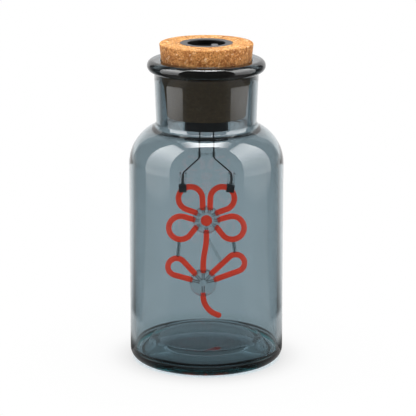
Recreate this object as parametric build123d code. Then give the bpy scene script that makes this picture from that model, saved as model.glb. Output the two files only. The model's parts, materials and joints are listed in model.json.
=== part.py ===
"""Cork bottle light: a smoked glass bottle whose cork carries a battery pod and a glowing line-drawn flower.

The origin is the centre of the bottle's foot on the surface it stands on, +Z is up and -Y is the front.
The flower is drawn in the XZ plane. Lengths are millimetres and angles are degrees.
"""
from build123d import *
from math import acos, atan2, cos, degrees, radians, sin, sqrt, tan
import os

os.makedirs("parts", exist_ok=True)

# Bottle, outside
body_radius = 47.5
heel_radius = 6.2
shoulder_radius = 26.0
shoulder_fillet_radius = 3.0
neck_wall = 3.4
neck_length = 27.8
neck_flare = 1.0
collar_step = 0.25
collar_bevel_height = 0.6
bead_offset = 0.45
bead_rise = 8.8
bead_section_radius = 3.8
bead_fillet_radius = 0.8

# Bottle, inside and underneath
bottle_wall = 3.1
shoulder_top_thickness = 3.2
inner_shoulder_inset = 1.9
bore_draft = 0.5
bore_fillet_radius = 3.0
lip_fillet_radius = 1.4
floor_edge_height = 5.0
floor_edge_width = 4.2
floor_edge_fillet_radius = 2.6
floor_slope_width = 6.2
floor_slope_rise = 8.0
floor_slope_fillet_radius = 2.0
floor_dome_fillet_radius = 5.0
floor_dome_rise = 1.0
foot_ring_width = 2.9
punt_slope_width = 8.8
punt_ring_height = 8.0
punt_crown_height = 9.0
punt_fillet_radius = 2.0

# Cork stopper
cork_stand = 10.0
cork_length = 44.6
cork_taper_angle = 6.2
cork_seat_gap = 0.3
cork_edge_radius = 0.7

# Battery pod
pod_wall = 1.2
pod_floor_thickness = 1.6
pod_edge_radius = 1.8
pod_cork_clearance = 0.1
pod_seam_drop = 7.2
spigot_depth = 4.0
spigot_wall = 1.0
spigot_clearance = 0.1
flange_width = 2.7
flange_thickness = 1.2
flange_edge_radius = 0.4
flange_cork_clearance = 0.15
recess_wall = 1.65
recess_depth = 3.0
deck_thickness = 1.1

# Circuit board and its screws
board_clearance = 0.2
board_thickness = 1.0
boss_length = 5.9
boss_radius = 1.7
boss_offset_x = 0.6
boss_edge_distance = 2.65
screw_radius = 0.6
screw_head_radius = 1.2
screw_head_height = 0.8
screw_reach = 3.6
screw_clearance = 0.1

# Charging socket
usb_offset_x = -3.9
usb_width = 3.2
usb_length = 8.9
usb_shell_wall = 0.3
usb_round_share = 0.97
usb_mouth_drop = 0.2
usb_deck_clearance = 0.15
usb_base_thickness = 1.2
usb_base_clearance = 0.05
usb_tongue_thickness = 0.7
usb_tongue_length = 6.7
usb_tongue_drop = 0.8

# Power button and the switch under it
button_offset_x = 5.0
button_width = 4.4
button_length = 7.6
button_corner_radius = 1.3
button_drop = 1.3
button_bevel = 0.4
button_side_clearance = 0.15
button_lip = 0.6
button_lip_thickness = 0.7
button_lip_clearance = 0.1
button_post_radius = 1.4
switch_side = 6.0
switch_height = 3.5
plunger_radius = 1.7
plunger_clearance = 0.1
plunger_stand = 0.9
plunger_sunk_length = 1.5
press_travel = 0.5
press_clearance = 0.2

# Chips on the board, as shares of its radius: centre X, centre Y, width, depth and height
chip_shares = (
    (-0.04, 0.29, 0.20, 0.28, 0.10),
    (0.05, -0.46, 0.28, 0.22, 0.15),
    (-0.71, 0.43, 0.11, 0.07, 0.06),
    (-0.73, -0.41, 0.11, 0.07, 0.06),
    (0.52, 0.57, 0.19, 0.11, 0.08),
)

# Battery cell and what holds it
cell_radius = 9.15
cell_length = 35.0
cell_bevel = 0.9
cell_side_gap = 1.8
cell_pad_thickness = 2.6
cell_pad_inset = 0.55
pad_slot_width = 1.5
pad_skin = 0.6
pad_clearance = 0.1
tab_thickness = 0.15
tab_width = 4.0
tab_length = 8.0
cell_lead_radius = 0.45
top_pad_thickness = 4.0
top_pad_radius = 6.0
top_pad_hole_radius = 2.9
top_tab_offset_x = 4.0

# Lead wires from the pod to the flower
wire_radius = 0.5
wire_left_offset_x = 4.25
wire_right_offset_x = 4.5
wire_turn_rise = 1.3
wire_bend_drop = 0.9
wire_bend_radius = 4.0
wire_inner_bend_radius = 0.9
wire_fit = 0.05
grommet_wall = 0.6
grommet_collar_radius = 1.8
grommet_collar_height = 0.5
grommet_stand = 0.3
spreader_rise = 13.0
spreader_height = 4.1
spreader_drop = 11.75
spreader_sleeve_wall = 0.65
spreader_bar_height = 1.6
spreader_bar_thickness = 1.2

# Terminal clips, measured along their own axis from the tube's centre
clip_width = 4.5
clip_depth = 5.0
clip_block_below = 1.3
clip_block_above = 3.1
clip_rib_count = 3
clip_rib_height = 0.6
clip_rib_stand = 0.25
clip_shroud_height = 5.0
clip_shroud_depth = 3.6
clip_slot_width = 2.4
clip_slot_floor = 0.8
crimp_radius = 0.85
crimp_length = 2.8
crimp_floor_length = 0.8
clip_left_tilt = 0.0
clip_right_tilt = 8.0

# Flower: glowing tube, hubs and braces
tube_radius = 1.75
tube_fit = 0.05
hub_thickness = 4.8
hub_rim = 1.8
hub_bevel = 0.5
tube_end_reach = 6.6
tube_end_offset = 2.05
bloom_centre_radius = 3.5
bloom_centre_bevel = 0.8
petal_reach = 24.2
petal_tip_share = 0.3058
petal_upper_angle = 54.0
petal_side_angle = -18.0
clip_angle_on_petal = 50.0
flower_floor_gap = 10.1
flower_bore_gap = 1.35
joint_offset_x = -2.0
leaf_tip_radius = 5.5
stem_length = 40.5
stem_straight = 4.0
stem_curl_radius = 13.0
stem_curl_straight = 2.0
stem_curl_angle = 75.0
brace_right_length = 9.8
brace_left_length = 12.3
brace_lean_angle = 5.7
brace_radius = 1.1
brace_bore_radius = 0.75
brace_wire_radius = 0.25
strut_radius = 0.9
strut_leaf_share = 0.62

# Overrun of every cutting tool past the face it leaves
cut_overrun = 1.0

full_turn = 360.0
quarter_turn = 90.0

# Radii that follow from the sizes above, from the cell outwards and from the flower outwards
spigot_bore_radius = cell_radius + cell_side_gap
side_gap_radius = cell_radius + cell_side_gap / 2
spigot_radius = spigot_bore_radius + spigot_wall
pod_bore_radius = spigot_radius + spigot_clearance
pod_radius = pod_bore_radius + pod_wall
recess_radius = pod_radius - recess_wall
flange_radius = pod_radius + flange_width
board_radius = spigot_bore_radius - board_clearance
grommet_radius = wire_radius + grommet_wall
spreader_sleeve_radius = wire_radius + spreader_sleeve_wall
hub_radius = tube_end_reach + hub_rim
petal_tip_radius = petal_reach * petal_tip_share
bore_base_radius = petal_reach + tube_radius + flower_bore_gap
bore_lip_radius = bore_base_radius + bore_draft
neck_base_radius = bore_base_radius + neck_wall
neck_top_radius = neck_base_radius + neck_flare
collar_radius = neck_top_radius + collar_step
bead_centre_radius = collar_radius + bead_offset
body_bore_radius = body_radius - bottle_wall
shoulder_axis_radius = body_radius - shoulder_radius
inner_shoulder_axis_radius = bore_base_radius - inner_shoulder_inset
inner_shoulder_radius = body_bore_radius - inner_shoulder_axis_radius
floor_slope_radius = body_bore_radius - floor_edge_width
floor_dome_radius = floor_slope_radius - floor_slope_width
foot_ring_inner_radius = body_radius - heel_radius - foot_ring_width
punt_ring_radius = foot_ring_inner_radius - punt_slope_width

# Heights of the flower, from the bottle's floor up
stem_curl_drop = stem_curl_radius * sin(radians(stem_curl_angle)) + stem_curl_straight
floor_dome_height = floor_edge_height + floor_slope_rise
floor_crown_height = floor_dome_height + floor_dome_rise
flower_bottom_height = floor_crown_height + flower_floor_gap
joint_height = flower_bottom_height + tube_radius + stem_curl_drop + tube_end_reach
bloom_height = joint_height + stem_length
petal_tip_rise = (petal_reach - petal_tip_radius) * sin(radians(petal_upper_angle))
clip_base_height = bloom_height + petal_tip_rise + petal_tip_radius * sin(radians(clip_angle_on_petal))
clip_top_height = clip_base_height + clip_block_above + clip_shroud_height
spreader_bottom_height = clip_top_height + spreader_rise
spreader_top_height = spreader_bottom_height + spreader_height
wire_bend_height = spreader_bottom_height - wire_bend_drop

# Heights of the pod, from its foot up
pod_bottom_height = spreader_top_height + spreader_drop
pod_floor_height = pod_bottom_height + pod_floor_thickness
cell_bottom_height = pod_floor_height + cell_pad_thickness + tab_thickness
cell_top_height = cell_bottom_height + cell_length
board_bottom_height = cell_top_height + tab_thickness + top_pad_thickness
board_top_height = board_bottom_height + board_thickness
deck_bottom_height = board_top_height + boss_length
deck_top_height = deck_bottom_height + deck_thickness
cork_top_height = deck_top_height + recess_depth
cork_bottom_height = cork_top_height - cork_length
flange_bottom_height = cork_top_height - flange_thickness
pod_seam_height = cork_top_height - pod_seam_drop
plunger_top_height = board_top_height + switch_height + plunger_stand
plunger_bottom_height = board_top_height + switch_height - plunger_sunk_length

# Heights of the bottle, from its lip down
lip_height = cork_top_height - cork_stand
bead_centre_height = lip_height - bead_section_radius
neck_top_height = bead_centre_height - bead_rise
shoulder_end_height = neck_top_height - neck_length
shoulder_end_angle = acos((neck_base_radius - shoulder_axis_radius) / shoulder_radius)
shoulder_start_height = shoulder_end_height - shoulder_radius * sin(shoulder_end_angle)
inner_shoulder_end_height = shoulder_end_height - shoulder_top_thickness
inner_shoulder_end_angle = acos(inner_shoulder_inset / inner_shoulder_radius)
inner_shoulder_drop = inner_shoulder_radius * sin(inner_shoulder_end_angle)
inner_shoulder_start_height = inner_shoulder_end_height - inner_shoulder_drop


def polygon(points):
    """Closed outline through the given (radius, height) points."""
    return Polyline(*points, close=True)


def round_corner(face, x, y, radius):
    """Round the corner of a flat outline that lies nearest to (x, y)."""
    corner = face.vertices().sort_by_distance((x, y, 0))[0]
    return fillet(corner, radius)


def disc(radius, low, high, x=0, y=0):
    """Upright cylinder from height low to height high."""
    return Pos(x, y, low) * extrude(Circle(radius), high - low)


def block(width, depth, low, high, x=0, y=0):
    """Upright box from height low to height high."""
    return Pos(x, y, low) * extrude(Rectangle(width, depth), high - low)


def slot_block(width, length, low, high, x=0, y=0):
    """Upright solid of a round-ended slot whose long side runs front to back."""
    face = RectangleRounded(width, length, width / 2 * usb_round_share)
    return Pos(x, y, low) * extrude(face, high - low)


def tube_along(edges, radius):
    """Round tube of the given radius along a chain of straight lines and arcs."""
    tube = Part()
    for edge in edges:
        profile = Plane(origin=edge @ 0, z_dir=edge % 0) * Circle(radius)
        if edge.geom_type == GeomType.LINE:
            tube += extrude(profile, edge.length)
        else:
            spoke = edge @ 0 - edge.arc_center
            turn_axis = Axis(edge.arc_center, spoke.cross(edge % 0))
            tube += revolve(profile, turn_axis, degrees(edge.length / spoke.length))
    return tube


def rod_between(first, last, radius):
    """Straight round rod between two points."""
    return tube_along([Line(first, last)], radius)


def in_plane(centre, angle, along, across):
    """Point at (along, across) of a drawing turned by angle about a centre (x, height)."""
    turn = radians(angle)
    x = centre[0] + along * cos(turn) - across * sin(turn)
    height = centre[1] + along * sin(turn) + across * cos(turn)
    return Vector(x, 0, height)


def teardrop_points(centre, angle, reach, tip_radius):
    """Ends, tangent points and tip of a teardrop: two straight sides from a hub, joined by a round tip."""
    tip_centre = reach - tip_radius
    end_distance = sqrt((tip_centre - tube_end_reach) ** 2 + tube_end_offset ** 2)
    end_direction = atan2(tube_end_offset, tube_end_reach - tip_centre)
    tangent_direction = end_direction - acos(tip_radius / end_distance)
    along = tip_centre + tip_radius * cos(tangent_direction)
    across = tip_radius * sin(tangent_direction)
    return {
        "end_above": in_plane(centre, angle, tube_end_reach, tube_end_offset),
        "tangent_above": in_plane(centre, angle, along, across),
        "tip": in_plane(centre, angle, reach, 0),
        "tangent_below": in_plane(centre, angle, along, -across),
        "end_below": in_plane(centre, angle, tube_end_reach, -tube_end_offset),
        "tip_centre": in_plane(centre, angle, tip_centre, 0),
    }


def teardrop_path(points):
    """Path of a teardrop, from its upper end round the tip to its lower end."""
    side_above = Line(points["end_above"], points["tangent_above"])
    tip = ThreePointArc(points["tangent_above"], points["tip"], points["tangent_below"])
    side_below = Line(points["tangent_below"], points["end_below"])
    return [side_above, tip, side_below]


# Glass bottle
def glass_bottle():
    """Blown bottle: pushed-up foot, heel, wall, round shoulder, drafted neck, collar and rolled lip."""
    half_angle = shoulder_end_angle / 2
    bead_drop = sqrt(bead_section_radius ** 2 - (bead_centre_radius - collar_radius) ** 2)
    bead_join = (collar_radius, bead_centre_height - bead_drop)
    bead_side = (bead_centre_radius + bead_section_radius, bead_centre_height)
    bead_top = (bead_centre_radius, lip_height)
    neck_base = (neck_base_radius, shoulder_end_height)
    collar_base = (collar_radius, neck_top_height + collar_bevel_height)
    shoulder_middle = (
        shoulder_axis_radius + shoulder_radius * cos(half_angle),
        shoulder_start_height + shoulder_radius * sin(half_angle),
    )
    inner_half_angle = inner_shoulder_end_angle / 2
    bore_base = (bore_base_radius, inner_shoulder_end_height)
    inner_middle = (
        inner_shoulder_axis_radius + inner_shoulder_radius * cos(inner_half_angle),
        inner_shoulder_start_height + inner_shoulder_radius * sin(inner_half_angle),
    )
    inner_start = (body_bore_radius, inner_shoulder_start_height)
    floor_edge = (body_bore_radius, floor_edge_height)
    floor_slope = (floor_slope_radius, floor_edge_height)
    floor_dome = (floor_dome_radius, floor_dome_height)
    punt_ring = (punt_ring_radius, punt_ring_height)
    edges = [
        TangentArc((0, punt_crown_height), punt_ring, tangent=(1, 0)),
        Line(punt_ring, (foot_ring_inner_radius, 0)),
        Line((foot_ring_inner_radius, 0), (body_radius, 0)),
        Line((body_radius, 0), (body_radius, shoulder_start_height)),
        ThreePointArc((body_radius, shoulder_start_height), shoulder_middle, neck_base),
        Line(neck_base, (neck_top_radius, neck_top_height)),
        Line((neck_top_radius, neck_top_height), collar_base),
        Line(collar_base, bead_join),
        ThreePointArc(bead_join, bead_side, bead_top),
        Line(bead_top, (bore_lip_radius, lip_height)),
        Line((bore_lip_radius, lip_height), bore_base),
        ThreePointArc(bore_base, inner_middle, inner_start),
        Line(inner_start, floor_edge),
        Line(floor_edge, floor_slope),
        Line(floor_slope, floor_dome),
        TangentArc((0, floor_crown_height), floor_dome, tangent=(1, 0)),
        Line((0, floor_crown_height), (0, punt_crown_height)),
    ]
    face = make_face(edges)
    face = round_corner(face, body_radius, 0, heel_radius)
    face = round_corner(face, *punt_ring, punt_fillet_radius)
    face = round_corner(face, *neck_base, shoulder_fillet_radius)
    face = round_corner(face, *bead_join, bead_fillet_radius)
    face = round_corner(face, bore_lip_radius, lip_height, lip_fillet_radius)
    face = round_corner(face, *bore_base, bore_fillet_radius)
    face = round_corner(face, *floor_edge, floor_edge_fillet_radius)
    face = round_corner(face, *floor_slope, floor_slope_fillet_radius)
    face = round_corner(face, *floor_dome, floor_dome_fillet_radius)
    return revolve(Plane.XZ * face, Axis.Z, full_turn)


# Cork with its through hole and the sink for the pod's flange
def cork_stopper():
    """Tapered cork, bored for the pod and sunk for the pod's flange."""
    slope = tan(radians(cork_taper_angle))
    seat_height = lip_height - lip_fillet_radius
    seat_radius = bore_lip_radius - cork_seat_gap
    cork_top_radius = seat_radius + (cork_top_height - seat_height) * slope
    cork_bottom_radius = seat_radius - (seat_height - cork_bottom_height) * slope
    hole_radius = pod_radius + pod_cork_clearance
    sink_radius = flange_radius + flange_cork_clearance
    sink_height = flange_bottom_height
    face = make_face(polygon([
        (hole_radius, cork_bottom_height),
        (cork_bottom_radius, cork_bottom_height),
        (cork_top_radius, cork_top_height),
        (sink_radius, cork_top_height),
        (sink_radius, sink_height),
        (hole_radius, sink_height),
    ]))
    face = round_corner(face, cork_top_radius, cork_top_height, cork_edge_radius)
    face = round_corner(face, cork_bottom_radius, cork_bottom_height, cork_edge_radius)
    return revolve(Plane.XZ * face, Axis.Z, full_turn)


# Pod: cup in the cork, and the flanged top that closes it
def wire_places():
    """Centre line of the left and the right lead wire, as distances along X."""
    return (-wire_left_offset_x, wire_right_offset_x)


def pod_shell():
    """Thin cup with a rounded foot and two holes for the lead wires."""
    face = make_face(polygon([
        (0, pod_bottom_height),
        (pod_radius, pod_bottom_height),
        (pod_radius, pod_seam_height),
        (pod_bore_radius, pod_seam_height),
        (pod_bore_radius, pod_floor_height),
        (0, pod_floor_height),
    ]))
    face = round_corner(face, pod_radius, pod_bottom_height, pod_edge_radius)
    cup = revolve(Plane.XZ * face, Axis.Z, full_turn)
    for x in wire_places():
        low = pod_bottom_height - cut_overrun
        high = pod_floor_height + cut_overrun
        cup -= disc(grommet_radius, low, high, x)
    return cup


def boss_places():
    """Centres of the two screw bosses under the deck."""
    boss_offset_y = board_radius - boss_edge_distance
    return ((boss_offset_x, boss_offset_y), (boss_offset_x, -boss_offset_y))


def pod_top():
    """Flange, shallow recess, deck with its cut-outs, screw bosses and the spigot in the cup."""
    spigot_bottom = pod_seam_height - spigot_depth
    face = make_face(polygon([
        (recess_radius, cork_top_height),
        (flange_radius, cork_top_height),
        (flange_radius, flange_bottom_height),
        (pod_radius, flange_bottom_height),
        (pod_radius, pod_seam_height),
        (spigot_radius, pod_seam_height),
        (spigot_radius, spigot_bottom),
        (spigot_bore_radius, spigot_bottom),
        (spigot_bore_radius, deck_bottom_height),
        (0, deck_bottom_height),
        (0, deck_top_height),
        (recess_radius, deck_top_height),
    ]))
    face = round_corner(face, recess_radius, cork_top_height, flange_edge_radius)
    top = revolve(Plane.XZ * face, Axis.Z, full_turn)
    low = deck_bottom_height - cut_overrun
    high = deck_top_height + cut_overrun
    usb_margin = usb_deck_clearance * 2
    button_margin = button_side_clearance * 2
    top -= slot_block(usb_width + usb_margin, usb_length + usb_margin, low, high, usb_offset_x)
    window = RectangleRounded(
        button_width + button_margin,
        button_length + button_margin,
        button_corner_radius + button_side_clearance,
    )
    top -= Pos(button_offset_x, 0, low) * extrude(window, high - low)
    for x, y in boss_places():
        top += disc(boss_radius, board_top_height, deck_bottom_height, x, y)
        screw_end = board_bottom_height + screw_reach
        top -= disc(screw_radius + screw_clearance, board_bottom_height, screw_end, x, y)
    return top


# Button and switch
def power_button():
    """Rounded key with a retaining lip under the deck and a post on the switch plunger."""
    lip_top = deck_bottom_height - button_lip_clearance
    lip_bottom = lip_top - button_lip_thickness
    key_top = cork_top_height - button_drop
    key_face = RectangleRounded(button_width, button_length, button_corner_radius)
    key = Pos(0, 0, lip_top) * extrude(key_face, key_top - lip_top)
    key = chamfer(key.faces().sort_by(Axis.Z)[-1].edges(), button_bevel)
    lip_face = RectangleRounded(
        button_width + button_lip * 2,
        button_length + button_lip * 2,
        button_corner_radius + button_lip,
    )
    lip = Pos(0, 0, lip_bottom) * extrude(lip_face, button_lip_thickness)
    post = disc(button_post_radius, plunger_top_height, lip_bottom)
    return Pos(button_offset_x, 0, 0) * (key + lip + post)


def switch_body():
    """Tactile switch on the board, with a blind hole for its plunger."""
    top = board_top_height + switch_height
    body = block(switch_side, switch_side, board_top_height, top, button_offset_x)
    hole_bottom = plunger_bottom_height - press_travel - press_clearance
    hole_radius = plunger_radius + plunger_clearance
    return body - disc(hole_radius, hole_bottom, top + cut_overrun, button_offset_x)


def switch_plunger():
    """Round plunger that the button presses."""
    return disc(plunger_radius, plunger_bottom_height, plunger_top_height, button_offset_x)


# Charging socket
def usb_shell():
    """Round-ended metal sleeve that stands on the board and opens upwards."""
    top = deck_top_height - usb_mouth_drop
    outer = slot_block(usb_width, usb_length, board_top_height, top, usb_offset_x)
    inner_width = usb_width - usb_shell_wall * 2
    inner_length = usb_length - usb_shell_wall * 2
    low = board_top_height - cut_overrun
    high = top + cut_overrun
    return outer - slot_block(inner_width, inner_length, low, high, usb_offset_x)


def usb_tongue():
    """Plastic base in the sleeve with the flat contact tongue."""
    margin = (usb_shell_wall + usb_base_clearance) * 2
    base_top = board_top_height + usb_base_thickness
    tongue_top = deck_top_height - usb_mouth_drop - usb_tongue_drop
    base = slot_block(usb_width - margin, usb_length - margin, board_top_height, base_top, usb_offset_x)
    tongue = block(usb_tongue_thickness, usb_tongue_length, base_top, tongue_top, usb_offset_x)
    return base + tongue


# Circuit board, chips and screws
def circuit_board():
    """Round board with two screw holes."""
    board = disc(board_radius, board_bottom_height, board_top_height)
    for x, y in boss_places():
        low = board_bottom_height - cut_overrun
        high = board_top_height + cut_overrun
        board -= disc(screw_radius + screw_clearance, low, high, x, y)
    return board


def board_chips():
    """Charging chip, coil and small parts, each standing on the board."""
    chips = []
    for shares in chip_shares:
        x, y, width, depth, height = [share * board_radius for share in shares]
        chips.append(block(width, depth, board_top_height, board_top_height + height, x, y))
    return Compound(chips)


def board_screws():
    """Two pan-head screws driven upwards through the board into the bosses."""
    screws = []
    for x, y in boss_places():
        head_bottom = board_bottom_height - screw_head_height
        shank_top = board_bottom_height + screw_reach
        head = disc(screw_head_radius, head_bottom, board_bottom_height, x, y)
        shank = disc(screw_radius, board_bottom_height, shank_top, x, y)
        screws.append(head + shank)
    return Compound(screws)


# Battery cell, tabs, leads and pads
def battery_cell():
    """Plain round lithium cell."""
    cell = disc(cell_radius, cell_bottom_height, cell_top_height)
    return chamfer(cell.edges().filter_by(GeomType.CIRCLE), cell_bevel)


def battery_tabs():
    """Welded strips under and over the cell."""
    reach = side_gap_radius + cell_lead_radius
    bottom_low = cell_bottom_height - tab_thickness
    bottom = block(tab_width, reach, bottom_low, cell_bottom_height, 0, reach / 2)
    top_high = cell_top_height + tab_thickness
    top = block(tab_length, tab_width, cell_top_height, top_high, top_tab_offset_x / 2)
    return Compound([bottom, top])


def battery_leads():
    """Two insulated leads from the tabs up to the board."""
    long_lead = disc(cell_lead_radius, cell_bottom_height, board_bottom_height, 0, side_gap_radius)
    top_tab_height = cell_top_height + tab_thickness
    short_lead = disc(cell_lead_radius, top_tab_height, board_bottom_height, top_tab_offset_x / 2)
    return Compound([long_lead, short_lead])


def foam_pad_lower():
    """Foam disc under the cell with a groove for the lead wires."""
    pad_top = cell_bottom_height - tab_thickness
    groove_top = pad_top - pad_skin
    pad = disc(cell_radius - cell_pad_inset, pod_floor_height, pad_top)
    groove_length = pod_radius * 2
    pad -= block(groove_length, pad_slot_width, pod_floor_height - cut_overrun, groove_top)
    for x in wire_places():
        collar_top = pod_floor_height + grommet_collar_height + pad_clearance
        collar_low = pod_floor_height - cut_overrun
        pad -= disc(grommet_collar_radius + pad_clearance, collar_low, collar_top, x)
    return pad


def foam_pad_upper():
    """Foam ring that keeps the cell from rattling against the board."""
    low = cell_top_height + tab_thickness
    ring = disc(top_pad_radius, low, board_bottom_height)
    return ring - disc(top_pad_hole_radius, low - cut_overrun, board_bottom_height + cut_overrun)


# Lead wires, grommets and spreader
def clip_frame(side):
    """Frame of one terminal clip: origin in the tube, Z along the clip."""
    petal_centre = teardrop_points(
        (0, bloom_height), petal_upper_angle, petal_reach, petal_tip_radius
    )["tip_centre"]
    turn = radians(clip_angle_on_petal)
    x = petal_centre.X + petal_tip_radius * cos(turn)
    height = petal_centre.Z + petal_tip_radius * sin(turn)
    tilt = clip_right_tilt if side > 0 else -clip_left_tilt
    return Pos(side * x, 0, height) * Rot(0, tilt, 0)


def clip_point(side, height):
    """Point on a clip's axis, at a height above the tube's centre."""
    return (clip_frame(side) * Pos(0, 0, height)).position


def lead_wire(side):
    """Lead wire from its crimp, over the spreader and through the pod's floor, up to the board."""
    offset = wire_left_offset_x if side < 0 else wire_right_offset_x
    crimp_bottom = clip_block_above + clip_slot_floor
    clip_top = clip_block_above + clip_shroud_height
    turn_height = pod_floor_height + wire_turn_rise
    inner_x = side * side_gap_radius
    points = [
        clip_point(side, crimp_bottom + crimp_floor_length),
        clip_point(side, clip_top),
        Vector(side * offset, 0, wire_bend_height),
        Vector(side * offset, 0, turn_height),
        Vector(inner_x, 0, turn_height),
        Vector(inner_x, 0, board_bottom_height),
    ]
    radii = [wire_bend_radius, wire_bend_radius, wire_inner_bend_radius, wire_inner_bend_radius]
    return tube_along(FilletPolyline(*points, radius=radii).order_edges(), wire_radius)


def wire_grommets():
    """Rubber bushes in the pod's floor, collared inside."""
    bushes = []
    for x in wire_places():
        collar_top = pod_floor_height + grommet_collar_height
        bush = disc(grommet_radius, pod_bottom_height - grommet_stand, pod_floor_height, x)
        bush += disc(grommet_collar_radius, pod_floor_height, collar_top, x)
        low = pod_bottom_height - cut_overrun
        bush -= disc(wire_radius + wire_fit, low, collar_top + cut_overrun, x)
        bushes.append(bush)
    return Compound(bushes)


def wire_spreader():
    """Clear bar with two sleeves that holds the wires apart."""
    left_x, right_x = wire_places()
    middle = (left_x + right_x) / 2
    bar_low = (spreader_top_height + spreader_bottom_height - spreader_bar_height) / 2
    bar_high = bar_low + spreader_bar_height
    spreader = block(right_x - left_x, spreader_bar_thickness, bar_low, bar_high, middle)
    for x in (left_x, right_x):
        spreader += disc(spreader_sleeve_radius, spreader_bottom_height, spreader_top_height, x)
    for x in (left_x, right_x):
        low = spreader_bottom_height - cut_overrun
        high = spreader_top_height + cut_overrun
        spreader -= disc(wire_radius + wire_fit, low, high, x)
    return spreader


# Flower: tubes
def petal_points(side, angle):
    """Corner points of a petal on the left (side -1) or the right (side 1)."""
    turned = angle if side > 0 else full_turn / 2 - angle
    return teardrop_points((0, bloom_height), turned, petal_reach, petal_tip_radius)


def leaf_points(side):
    """Corner points of a leaf, whose round tip hangs a brace's length below the side petal's."""
    brace_length = brace_right_length if side > 0 else brace_left_length
    drop = petal_tip_radius + brace_length + leaf_tip_radius
    lean = radians(brace_lean_angle)
    petal_centre = petal_points(side, petal_side_angle)["tip_centre"]
    across = petal_centre.X + side * drop * sin(lean) - joint_offset_x
    up = petal_centre.Z - drop * cos(lean) - joint_height
    reach = sqrt(across ** 2 + up ** 2) + leaf_tip_radius
    return teardrop_points((joint_offset_x, joint_height), degrees(atan2(up, across)), reach, leaf_tip_radius)


def stem_upper_path():
    """Gentle S from the bloom hub down to the stem joint."""
    top = Vector(0, 0, bloom_height - tube_end_reach)
    bottom = Vector(joint_offset_x, 0, joint_height + tube_end_reach)
    bend_top = top - Vector(0, 0, stem_straight)
    bend_bottom = bottom + Vector(0, 0, stem_straight)
    middle = (bend_top + bend_bottom) / 2
    first = TangentArc(bend_top, middle, tangent=(0, 0, -1))
    second = TangentArc(middle, bend_bottom, tangent=first % 1)
    return [Line(top, bend_top), first, second, Line(bend_bottom, bottom)]


def stem_lower_path():
    """Stem below the joint, curling to the right."""
    top = Vector(joint_offset_x, 0, joint_height - tube_end_reach)
    bend = top - Vector(0, 0, stem_curl_straight)
    turn = radians(stem_curl_angle)
    end_x = bend.X + stem_curl_radius * (1 - cos(turn))
    end = Vector(end_x, 0, bend.Z - stem_curl_radius * sin(turn))
    return [Line(top, bend), TangentArc(bend, end, tangent=(0, 0, -1))]


def flower_paths():
    """Path of every glowing tube, by node name."""
    paths = {}
    for side, word in ((-1, "left"), (1, "right")):
        paths["petal_upper_" + word] = teardrop_path(petal_points(side, petal_upper_angle))
        paths["petal_side_" + word] = teardrop_path(petal_points(side, petal_side_angle))
        paths["leaf_" + word] = teardrop_path(leaf_points(side))
    paths["stem_upper"] = stem_upper_path()
    paths["stem_lower"] = stem_lower_path()
    return paths


def hub(x, height, tubes):
    """Clear round hub with a socket for each tube end."""
    blank = extrude(Circle(hub_radius), hub_thickness / 2, both=True)
    blank = chamfer(blank.edges().filter_by(GeomType.CIRCLE), hub_bevel)
    solid = Pos(x, 0, height) * Rot(quarter_turn, 0, 0) * blank
    for tube in tubes:
        solid -= tube
    return solid


def bloom_centre():
    """Round red lens in the middle of the bloom."""
    lens = extrude(Circle(bloom_centre_radius), hub_thickness / 2, both=True)
    lens = chamfer(lens.edges().filter_by(GeomType.CIRCLE), bloom_centre_bevel)
    return Pos(0, 0, bloom_height) * Rot(quarter_turn, 0, 0) * lens


def lens_hole():
    """Cutting tool for the hole that the red lens sits in."""
    hole = extrude(Circle(bloom_centre_radius + tube_fit), hub_thickness, both=True)
    return Pos(0, 0, bloom_height) * Rot(quarter_turn, 0, 0) * hole


# Terminal clips
def clip_block(side, sockets):
    """Ribbed block that grips the tube."""
    low = -clip_block_below
    body = block(clip_width, clip_depth, low, clip_block_above)
    rib_width = clip_width + clip_rib_stand * 2
    rib_depth = clip_depth + clip_rib_stand * 2
    rib_pitch = (clip_block_above + clip_block_below) / clip_rib_count
    for index in range(clip_rib_count):
        rib_low = low + rib_pitch * index + (rib_pitch - clip_rib_height) / 2
        body += block(rib_width, rib_depth, rib_low, rib_low + clip_rib_height)
    placed = clip_frame(side) * body
    for socket in sockets:
        placed -= socket
    return placed


def clip_shroud(side):
    """Clear U-shaped shroud over the block, open at the top, front and back."""
    low = clip_block_above
    high = low + clip_shroud_height
    body = block(clip_width, clip_shroud_depth, low, high)
    body -= block(clip_slot_width, clip_depth, low + clip_slot_floor, high + cut_overrun)
    return clip_frame(side) * body


def wire_crimps():
    """Crimped terminals on the wire ends, standing in the shrouds."""
    crimps = []
    for side in (-1, 1):
        low = clip_block_above + clip_slot_floor
        high = low + crimp_length
        crimp = disc(crimp_radius, low, high)
        crimp -= disc(wire_radius + wire_fit, low + crimp_floor_length, high + cut_overrun)
        crimps.append(clip_frame(side) * crimp)
    return Compound(crimps)


# Clear braces between petals and leaves
def brace_line(side):
    """Ends of a brace: the nearest points of the side petal's and the leaf's centre lines."""
    upper = petal_points(side, petal_side_angle)["tip_centre"]
    lower = leaf_points(side)["tip_centre"]
    towards = (lower - upper).normalized()
    return upper + towards * petal_tip_radius, lower - towards * leaf_tip_radius


def leaf_brace(side, tubes):
    """Clear sleeve from the side petal down to the leaf."""
    first, last = brace_line(side)
    sleeve = rod_between(first, last, brace_radius)
    sleeve -= rod_between(first, last, brace_bore_radius)
    for tube in tubes:
        sleeve -= tube
    return sleeve


def brace_wires(tubes):
    """Pair of thin wires inside each brace."""
    wires = []
    for side in (-1, 1):
        first, last = brace_line(side)
        for front in (-1, 1):
            shift = Vector(0, front * (brace_bore_radius - brace_wire_radius - wire_fit), 0)
            wire = rod_between(first + shift, last + shift, brace_wire_radius)
            for tube in tubes:
                wire -= tube
            wires.append(wire)
    return Compound(wires)


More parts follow.
